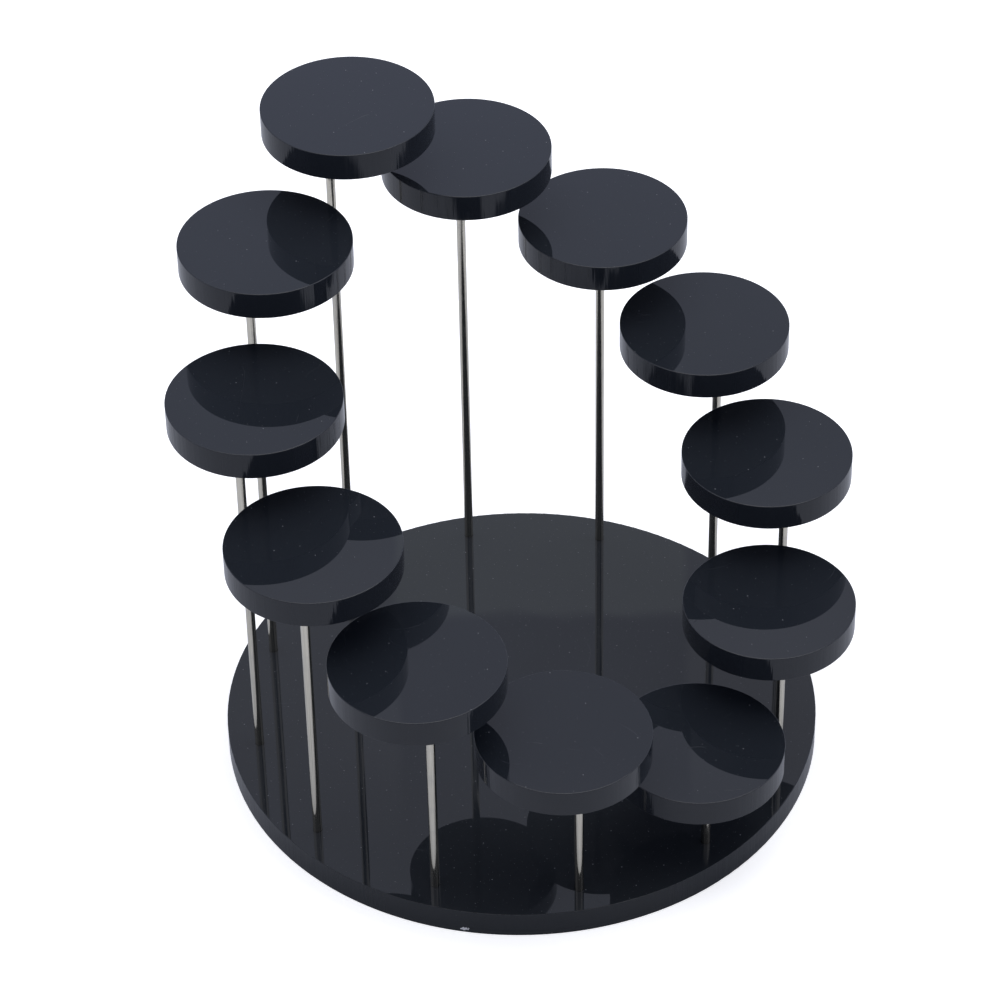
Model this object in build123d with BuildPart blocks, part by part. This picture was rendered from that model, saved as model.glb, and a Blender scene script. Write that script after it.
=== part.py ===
from build123d import *
from math import cos, radians, sin
import os

# A round display stand: a base plate, a ring of upright rods plugged into it, and a round
# platform plugged onto each rod. The platforms climb round the ring from the lowest, at the
# front, to the highest, at the back, in the same steps on both sides.
# Millimetres, +Z up. The origin is the centre of the base plate's underside, and the lowest
# platform stands towards -Y. Tiers are counted anticlockwise from it, seen from above.

# Base plate
base_diameter = 213
base_thickness = 10

# Rods
tier_count = 12
ring_inset = 10.5  # from the base plate's rim to the rods' axes
rod_diameter = 3.2
rod_chamfer = 0.4

# Platforms
platform_diameter = 60
platform_thickness = 10
socket_offset = 7  # from a platform's centre to the axis of its socket
turns = (-15, -30, -30, 0, 25, 10, 55, 45, 15, 15, 50, 35)
# turns: how far each platform is left turned about its rod, in degrees anticlockwise.
# At 0 its centre lies straight inwards from the rod.

# Heights
lowest_clear_height = 31.5  # from the base plate's top to the lowest platform's underside
tier_step = 28.5

# Blind sockets that the rods' ends stand in
socket_floor = 3  # material left beyond a socket's end
socket_clearance = 0.05  # on the radius
seat_gap = 0.05  # between a rod's end and the end of its socket

# Rim rounding of the plate and platforms
rim_radius = 0.25

ring_radius = base_diameter / 2 - ring_inset
socket_radius = rod_diameter / 2 + socket_clearance
base_socket_depth = base_thickness - socket_floor
platform_socket_depth = platform_thickness - socket_floor
front_angle = -90

os.makedirs("parts", exist_ok=True)


def save(piece, label):
    piece.part.label = label
    export_step(piece.part, f"parts/{label}.step")


def offset_point(start, distance, angle):
    """The point at a distance from start, towards an angle in degrees from +X."""
    return start[0] + distance * cos(radians(angle)), start[1] + distance * sin(radians(angle))


def make_base_plate():
    with BuildPart() as base_plate:
        with BuildSketch():
            Circle(base_diameter / 2)
        extrude(amount=base_thickness)
        fillet(base_plate.edges().filter_by(GeomType.CIRCLE), rim_radius)
        with BuildSketch(Plane.XY.offset(base_thickness)):
            with PolarLocations(ring_radius, tier_count, start_angle=front_angle):
                Circle(socket_radius)
        extrude(amount=-base_socket_depth, mode=Mode.SUBTRACT)
    save(base_plate, "base_plate")


def make_rod(label, axis_point, underside):
    foot = socket_floor + seat_gap
    head = underside + platform_socket_depth - seat_gap
    with BuildPart() as rod:
        with BuildSketch(Plane(origin=(*axis_point, foot))):
            Circle(rod_diameter / 2)
        extrude(amount=head - foot)
        chamfer(rod.edges().filter_by(GeomType.CIRCLE), rod_chamfer)
    save(rod, label)


def make_platform(label, axis_point, centre, underside):
    with BuildPart() as platform:
        with BuildSketch(Plane(origin=(*centre, underside))):
            Circle(platform_diameter / 2)
        extrude(amount=platform_thickness)
        fillet(platform.edges().filter_by(GeomType.CIRCLE), rim_radius)
        with BuildSketch(Plane(origin=(*axis_point, underside))):
            Circle(socket_radius)
        extrude(amount=platform_socket_depth, mode=Mode.SUBTRACT)
    save(platform, label)


make_base_plate()
for tier in range(tier_count):
    steps_up = min(tier, tier_count - tier)
    underside = base_thickness + lowest_clear_height + steps_up * tier_step
    ring_angle = front_angle + tier * 360 / tier_count
    axis_point = offset_point((0, 0), ring_radius, ring_angle)
    centre = offset_point(axis_point, -socket_offset, ring_angle + turns[tier])
    make_rod(f"rod_{tier + 1:02d}", axis_point, underside)
    make_platform(f"platform_{tier + 1:02d}", axis_point, centre, underside)
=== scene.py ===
from math import cos, radians, sin

import bmesh
import bpy
from mathutils import Matrix, Vector


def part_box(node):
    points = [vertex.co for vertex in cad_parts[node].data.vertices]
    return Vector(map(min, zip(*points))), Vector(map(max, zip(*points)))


# Lengths are metres, colours are linear, and heights in the world are sines of elevations.

# Camera
CAMERA_AZIMUTH = radians(-41.05)
CAMERA_ELEVATION = radians(40.07)
CAMERA_ROLL = radians(-1.09)
CAMERA_DISTANCE = 1.4419
CAMERA_SIDE_STEP = -0.00633
CAMERA_RISE = 0.08123
SENSOR_MM = 36
LENS_MM = 142.5
CAMERA_RIGHT = (cos(CAMERA_AZIMUTH), sin(CAMERA_AZIMUTH), 0)
CAMERA_SIDE = (sin(CAMERA_AZIMUTH), -cos(CAMERA_AZIMUTH), 0)

# The dome's colour at a few elevations, in degrees above the horizon
DOME_COLOURS = (
    (33, (0.55, 0.59, 0.77, 1)),
    (38.5, (0.49, 0.52, 0.64, 1)),
    (42.5, (0.61, 0.63, 0.74, 1)),
    (46, (0.56, 0.59, 0.71, 1)),
    (60, (0.80, 0.81, 0.86, 1)),
)

# The light card behind the stand, and the dimmer gap over it
CARD_COLOUR = (0.72, 0.77, 0.86, 1)
GAP_COLOUR = (0.50, 0.52, 0.63, 1)
CARD_MIDDLE = 0.010
CARD_SIDES = (0.035, 0.038)
CARD_FOOT = (0.61, 0.635)
CARD_TOP = sin(radians(41.75))
CARD_TOP_BLUR = 0.0015
GAP_TOP = (0.69, 0.71)

# The dark room behind the camera
DARK_ROOM_COLOUR = (0.10, 0.10, 0.12, 1)
DARK_ROOM_EDGE = (0.38, 0.62)
DARK_ROOM_SHARE = 0.75

# The white table
FLOOR_RADIUS = 4.0
FLOOR_SEEN_COLOURS = ((0.88, 0.88, 0.885, 1), (0.92, 0.92, 0.92, 1))
FLOOR_MIRRORED_COLOUR = (0.585, 0.60, 0.635, 1)
FLOOR_GLOW = 0.58

# The overhead softbox
SOFTBOX_PLACE = (0.1, -0.1, 1.6)
SOFTBOX_SIZE = 1.6
SOFTBOX_WATTS = 12

# Acrylic
BASE_BODY = (0.0165, 0.0190, 0.0226)
PLATFORM_BODY = (0.0122, 0.0147, 0.0193)
PALE_BODY_RATIO = 1.2
DUST_COLOUR = (0.38, 0.39, 0.42, 1)
HAIRLINE_COLOUR = (0.10, 0.10, 0.11, 1)
CHIP_COLOUR = (0.80, 0.80, 0.80, 1)
CHIP_ANGLE = radians(-142.5)
CHIP_HEIGHT = 0.0016

# Steel
STEEL_COLOURS = ((0.62, 0.585, 0.49, 1), (0.88, 0.83, 0.70, 1))
BLOTCH_COLOUR = (0.52, 0.50, 0.47, 1)
PIT_COLOUR = (0.20, 0.19, 0.18, 1)

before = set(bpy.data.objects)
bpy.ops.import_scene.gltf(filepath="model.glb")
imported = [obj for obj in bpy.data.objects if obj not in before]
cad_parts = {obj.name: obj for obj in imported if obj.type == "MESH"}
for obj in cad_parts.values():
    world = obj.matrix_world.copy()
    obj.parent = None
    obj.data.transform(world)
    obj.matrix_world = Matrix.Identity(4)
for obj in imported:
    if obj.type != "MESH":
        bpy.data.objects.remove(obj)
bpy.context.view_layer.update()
scene = bpy.context.scene


# ---------------------------------------------------------------- node helpers


class Shader:
    """A short way to add and link nodes in one node tree."""

    def __init__(self, tree):
        self.tree = tree
        tree.nodes.clear()

    def add(self, kind, inputs=None, **settings):
        node = self.tree.nodes.new(kind)
        for name, value in settings.items():
            setattr(node, name, value)
        for socket, value in (inputs or {}).items():
            self.feed(node.inputs[socket], value)
        return node

    def feed(self, socket, value):
        if isinstance(value, bpy.types.NodeSocket):
            self.tree.links.new(value, socket)
        else:
            socket.default_value = value

    def math(self, operation, a, b=0.0, clamp=False):
        node = self.add("ShaderNodeMath", {0: a, 1: b}, operation=operation, use_clamp=clamp)
        return node.outputs[0]

    def plus(self, a, b, clamp=False):
        return self.math("ADD", a, b, clamp)

    def minus(self, a, b, clamp=False):
        return self.math("SUBTRACT", a, b, clamp)

    def times(self, a, b):
        return self.math("MULTIPLY", a, b)

    def greater(self, a, b):
        return self.math("MAXIMUM", a, b)

    def remap(self, value, low, high, to_low=0.0, to_high=1.0):
        node = self.add(
            "ShaderNodeMapRange",
            {"Value": value, "From Min": low, "From Max": high, "To Min": to_low, "To Max": to_high},
            interpolation_type="SMOOTHSTEP",
        )
        return node.outputs["Result"]

    def mix_colour(self, share, a, b):
        node = self.add("ShaderNodeMix", data_type="RGBA")
        self.feed(node.inputs["Factor"], share)
        self.feed(node.inputs["A"], a)
        self.feed(node.inputs["B"], b)
        return node.outputs["Result"]

    def dot(self, a, b):
        return self.add("ShaderNodeVectorMath", {0: a, 1: b}, operation="DOT_PRODUCT").outputs["Value"]

    def object_position(self):
        return self.add("ShaderNodeTexCoord").outputs["Object"]

    def seen_by_camera(self):
        return self.add("ShaderNodeLightPath").outputs["Is Camera Ray"]

    def stretched(self, coordinates, scale):
        node = self.add("ShaderNodeMapping", {"Vector": coordinates, "Scale": scale})
        return node.outputs["Vector"]

    def noise(self, coordinates, scale, detail=2.0, rough=0.5):
        node = self.add(
            "ShaderNodeTexNoise",
            {"Vector": coordinates, "Scale": scale, "Detail": detail, "Roughness": rough},
        )
        return node.outputs["Fac"]

    def bump(self, height, strength, distance, normal=None):
        inputs = {"Strength": strength, "Distance": distance, "Height": height}
        if normal is not None:
            inputs["Normal"] = normal
        return self.add("ShaderNodeBump", inputs).outputs[0]


def new_material(name):
    material = bpy.data.materials.new(name)
    material.use_nodes = True
    return material, Shader(material.node_tree)


def finish_material(shader, inputs):
    principled = shader.add("ShaderNodeBsdfPrincipled", inputs)
    shader.add("ShaderNodeOutputMaterial", {"Surface": principled.outputs[0]})


# ---------------------------------------------------------------- masks


def speck_mask(shader, position, spacing, radius, share, flat=False):
    """Round specks at random sizes, in a given share of the cells; flat ones ignore height."""
    cells = shader.add(
        "ShaderNodeTexVoronoi",
        voronoi_dimensions="2D" if flat else "3D",
        inputs={"Vector": position, "Scale": 1 / spacing},
    )
    lottery = shader.add("ShaderNodeSeparateColor", {"Color": cells.outputs["Color"]})
    chosen = shader.math("LESS_THAN", lottery.outputs["Red"], share)
    reach = radius / spacing
    size = shader.remap(lottery.outputs["Green"], 0.0, 1.0, 0.45 * reach, reach)
    inside = shader.math("LESS_THAN", cells.outputs["Distance"], size)
    return shader.times(inside, chosen)


def hairline_mask(shader, position, shift, width, share):
    """Long fine scratches: the level lines of slow noise, kept only in a few patches."""
    moved = shader.add("ShaderNodeMapping", {"Vector": position, "Location": shift}).outputs["Vector"]
    ridge = shader.noise(moved, 30.0, detail=0.0)
    line = shader.math("ABSOLUTE", shader.minus(ridge, 0.5))
    thin = shader.remap(line, 0.0, width, 1.0, 0.0)
    patch = shader.remap(shader.noise(moved, 60.0, detail=1.0), 0.98 - share, 1.06 - share)
    return shader.times(thin, patch)


def dust_mask(shader, position, share, on_top, on_wall):
    """Specks of two sizes lying on the top, and fainter ones on the wall."""
    big = speck_mask(shader, position, 0.0085, 0.00021, share, flat=True)
    small = speck_mask(shader, position, 0.0031, 0.0001, share, flat=True)
    wall = speck_mask(shader, position, 0.004, 0.00014, share)
    top_dust = shader.times(shader.greater(big, shader.times(small, 0.45)), on_top)
    wall_dust = shader.times(shader.times(wall, on_wall), 0.4)
    return shader.greater(top_dust, wall_dust)


def chip_mask(shader, position, place):
    """One flaked spot, about 4 mm long and low, with a ragged outline."""
    offset = shader.add("ShaderNodeVectorMath", {0: position, 1: place}, operation="SUBTRACT").outputs[0]
    flattened = shader.stretched(offset, (1.0, 1.0, 2.6))
    reach = shader.add("ShaderNodeVectorMath", {0: flattened}, operation="LENGTH").outputs["Value"]
    ragged = shader.times(shader.noise(position, 1500.0, detail=1.0), 0.0036)
    return shader.math("LESS_THAN", shader.plus(reach, ragged), 0.0033)


# ---------------------------------------------------------------- materials


def acrylic_material(name, body, ior, dust_share, chip_place=None):
    """Black cast acrylic: mirror faces with dust and hairlines, laser-cut walls."""
    material, s = new_material(name)
    position = s.object_position()
    normal = s.add("ShaderNodeNewGeometry").outputs["Normal"]
    upward = s.add("ShaderNodeSeparateXYZ", {"Vector": normal}).outputs["Z"]
    on_face = s.remap(s.math("ABSOLUTE", upward), 0.9, 0.99)
    on_top = s.remap(upward, 0.9, 0.99)
    on_wall = s.remap(s.math("ABSOLUTE", upward), 0.2, 0.6, 1.0, 0.0)
    on_rim = s.minus(1.0, s.plus(on_wall, on_face), clamp=True)

    dust = dust_mask(s, position, dust_share, on_top, on_wall)
    lines = s.greater(
        hairline_mask(s, position, (0, 0, 0), 0.0016, 0.37),
        hairline_mask(s, position, (0.31, 0.17, 0.05), 0.0013, 0.36),
    )
    lines = s.times(lines, on_face)
    smudge = s.remap(s.noise(position, 38.0, detail=4.0, rough=0.6), 0.5, 0.75)
    streak_place = s.stretched(position, (1.0, 1.0, 0.02))
    streaks = s.noise(streak_place, 900.0, detail=2.0, rough=0.6)
    broad_streaks = s.noise(streak_place, 160.0, detail=1.0)

    pale_body = tuple(PALE_BODY_RATIO * part for part in body)
    tint = s.mix_colour(s.noise(position, 25.0), (*body, 1), (*pale_body, 1))
    tint = s.mix_colour(s.times(lines, 0.18), tint, HAIRLINE_COLOUR)
    tint = s.mix_colour(s.times(dust, 0.28), tint, DUST_COLOUR)

    wall_roughness = s.times(on_wall, s.remap(streaks, 0.35, 0.75, 0.03, 0.12))
    rim_wear = s.times(on_rim, s.remap(s.noise(position, 420.0), 0.3, 0.7, 0.15, 0.5))
    roughness = s.plus(wall_roughness, rim_wear)
    roughness = s.plus(roughness, s.times(smudge, 0.025))
    roughness = s.plus(roughness, s.times(lines, 0.08))
    roughness = s.plus(roughness, s.times(dust, 0.6))
    roughness = s.plus(roughness, 0.005, clamp=True)

    cut_marks = s.plus(streaks, s.times(broad_streaks, 1.8))
    wall_relief = s.times(s.times(on_wall, cut_marks), 3.2)
    ripple = s.times(s.noise(position, 60.0, detail=0.0), 0.4)
    relief = s.plus(wall_relief, ripple)
    wear = s.minus(dust, s.times(lines, 0.3))
    if chip_place:
        chip = chip_mask(s, position, chip_place)
        tint = s.mix_colour(chip, tint, CHIP_COLOUR)
        roughness = s.greater(roughness, s.times(chip, 0.5))
        wear = s.minus(wear, s.times(chip, 3.0))
    worked = s.bump(relief, strength=1.0, distance=0.00002)
    worn = s.bump(wear, strength=0.6, distance=0.00006, normal=worked)
    finish_material(s, {"Base Color": tint, "Roughness": roughness, "IOR": ior, "Normal": worn})
    return material


def steel_material():
    """Polished drawn stainless wire: lines along its length, dull blotches, a few pits."""
    material, s = new_material("polished_steel")
    position = s.object_position()
    drawn = s.stretched(position, (1.0, 1.0, 0.012))
    drawing_lines = s.noise(drawn, 3600.0, detail=3.0, rough=0.7)
    blotches = s.remap(s.noise(position, 120.0, detail=3.0), 0.48, 0.75)
    pits = speck_mask(s, position, 0.0035, 0.0001, 0.3)

    tint = s.mix_colour(s.remap(drawing_lines, 0.3, 0.7), *STEEL_COLOURS)
    tint = s.mix_colour(s.times(blotches, 0.35), tint, BLOTCH_COLOUR)
    tint = s.mix_colour(s.times(pits, 0.7), tint, PIT_COLOUR)
    roughness = s.remap(drawing_lines, 0.2, 0.8, 0.07, 0.17)
    roughness = s.plus(roughness, s.times(blotches, 0.08))
    roughness = s.plus(roughness, s.times(pits, 0.3), clamp=True)
    relief = s.minus(s.times(drawing_lines, 0.4), pits)
    worn = s.bump(relief, strength=0.5, distance=0.00001)
    finish_material(s, {"Base Color": tint, "Metallic": 1.0, "Roughness": roughness, "Normal": worn})
    return material


def floor_material():
    """A white light table: it glows a little to the camera, and is dimmer in reflections."""
    material, s = new_material("white_table")
    grain = s.noise(s.object_position(), 700.0, detail=2.0)
    seen = s.seen_by_camera()
    tint = s.mix_colour(seen, FLOOR_MIRRORED_COLOUR, s.mix_colour(grain, *FLOOR_SEEN_COLOURS))
    glow = s.times(seen, FLOOR_GLOW)
    finish_material(
        s,
        {
            "Base Color": tint,
            "Roughness": 0.9,
            "Emission Color": (1, 1, 1, 1),
            "Emission Strength": glow,
        },
    )
    return material


# ---------------------------------------------------------------- object


def dress(node_name, material):
    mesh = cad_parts[node_name].data
    mesh.materials.clear()
    mesh.materials.append(material)


def dress_stand():
    low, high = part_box("base_plate")
    base_radius = (high[0] - low[0]) / 2
    chip_place = (base_radius * cos(CHIP_ANGLE), base_radius * sin(CHIP_ANGLE), CHIP_HEIGHT)
    base_acrylic = acrylic_material(
        "base_acrylic", BASE_BODY, ior=1.45, dust_share=0.85, chip_place=chip_place
    )
    platform_acrylic = acrylic_material("platform_acrylic", PLATFORM_BODY, ior=1.49, dust_share=0.32)
    steel = steel_material()
    for node_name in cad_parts:
        if node_name == "base_plate":
            dress(node_name, base_acrylic)
        elif node_name.startswith("platform_"):
            dress(node_name, platform_acrylic)
        else:
            dress(node_name, steel)


# ---------------------------------------------------------------- stage, light, camera


def make_floor():
    mesh = bpy.data.meshes.new("floor")
    shape = bmesh.new()
    bmesh.ops.create_circle(shape, cap_ends=True, segments=96, radius=FLOOR_RADIUS)
    shape.to_mesh(mesh)
    shape.free()
    mesh.materials.append(floor_material())
    floor = bpy.data.objects.new("floor", mesh)
    scene.collection.objects.link(floor)


def make_world():
    """A pale studio dome as the mirror tops show it; white to the camera.

    Behind the stand hangs a light card with a dimmer gap over it: the plate mirrors its edge.
    The room behind the camera is dark: the rods' mirror images in the plate show it.
    """
    world = bpy.data.worlds.new("studio")
    world.use_nodes = True
    scene.world = world
    s = Shader(world.node_tree)
    direction = s.add("ShaderNodeTexCoord").outputs["Generated"]
    height = s.add("ShaderNodeSeparateXYZ", {"Vector": direction}).outputs["Z"]
    dome = DOME_COLOURS[0][1]
    for (low, _), (high, colour) in zip(DOME_COLOURS, DOME_COLOURS[1:]):
        share = s.remap(height, sin(radians(low)), sin(radians(high)))
        dome = s.mix_colour(share, dome, colour)

    off_middle = s.math("ABSOLUTE", s.minus(s.dot(direction, CAMERA_RIGHT), CARD_MIDDLE))
    in_middle = s.remap(off_middle, *CARD_SIDES, 1.0, 0.0)
    below_edge = s.remap(height, CARD_TOP - CARD_TOP_BLUR, CARD_TOP + CARD_TOP_BLUR, 1.0, 0.0)
    in_card = s.times(below_edge, s.remap(height, *CARD_FOOT))
    in_gap = s.times(s.minus(1.0, below_edge), s.remap(height, *GAP_TOP, 1.0, 0.0))
    dome = s.mix_colour(s.times(in_middle, in_card), dome, CARD_COLOUR)
    dome = s.mix_colour(s.times(in_middle, in_gap), dome, GAP_COLOUR)

    dark_room = s.remap(s.dot(direction, CAMERA_SIDE), *DARK_ROOM_EDGE, 0.0, DARK_ROOM_SHARE)
    dome = s.mix_colour(dark_room, dome, DARK_ROOM_COLOUR)
    colour = s.mix_colour(s.seen_by_camera(), dome, (1, 1, 1, 1))
    background = s.add("ShaderNodeBackground", {"Color": colour, "Strength": 1.0})
    s.add("ShaderNodeOutputWorld", {"Surface": background.outputs[0]})


def make_softbox():
    data = bpy.data.lights.new("overhead", "AREA")
    data.shape = "DISK"
    data.size = SOFTBOX_SIZE
    data.energy = SOFTBOX_WATTS
    light = bpy.data.objects.new("overhead", data)
    light.location = SOFTBOX_PLACE
    light.rotation_mode = "QUATERNION"
    light.rotation_quaternion = Vector(SOFTBOX_PLACE).to_track_quat("Z", "Y")
    scene.collection.objects.link(light)


def make_camera():
    """A long lens from the left of the front, looking down at the tiers."""
    across = cos(CAMERA_ELEVATION)
    back = Vector((CAMERA_SIDE[0] * across, CAMERA_SIDE[1] * across, sin(CAMERA_ELEVATION)))
    right = Vector(CAMERA_RIGHT)
    up = back.cross(right)
    rolled_right = right * cos(CAMERA_ROLL) + up * sin(CAMERA_ROLL)
    rolled_up = up * cos(CAMERA_ROLL) - right * sin(CAMERA_ROLL)
    turn = Matrix((rolled_right, rolled_up, back)).transposed()
    place = back * CAMERA_DISTANCE + right * CAMERA_SIDE_STEP + up * CAMERA_RISE
    data = bpy.data.cameras.new("camera")
    data.sensor_width = SENSOR_MM
    data.lens = LENS_MM
    camera = bpy.data.objects.new("camera", data)
    camera.matrix_world = Matrix.Translation(place) @ turn.to_4x4()
    scene.collection.objects.link(camera)
    scene.camera = camera


dress_stand()
make_floor()
make_world()
make_softbox()
make_camera()
scene.view_settings.view_transform = "Standard"
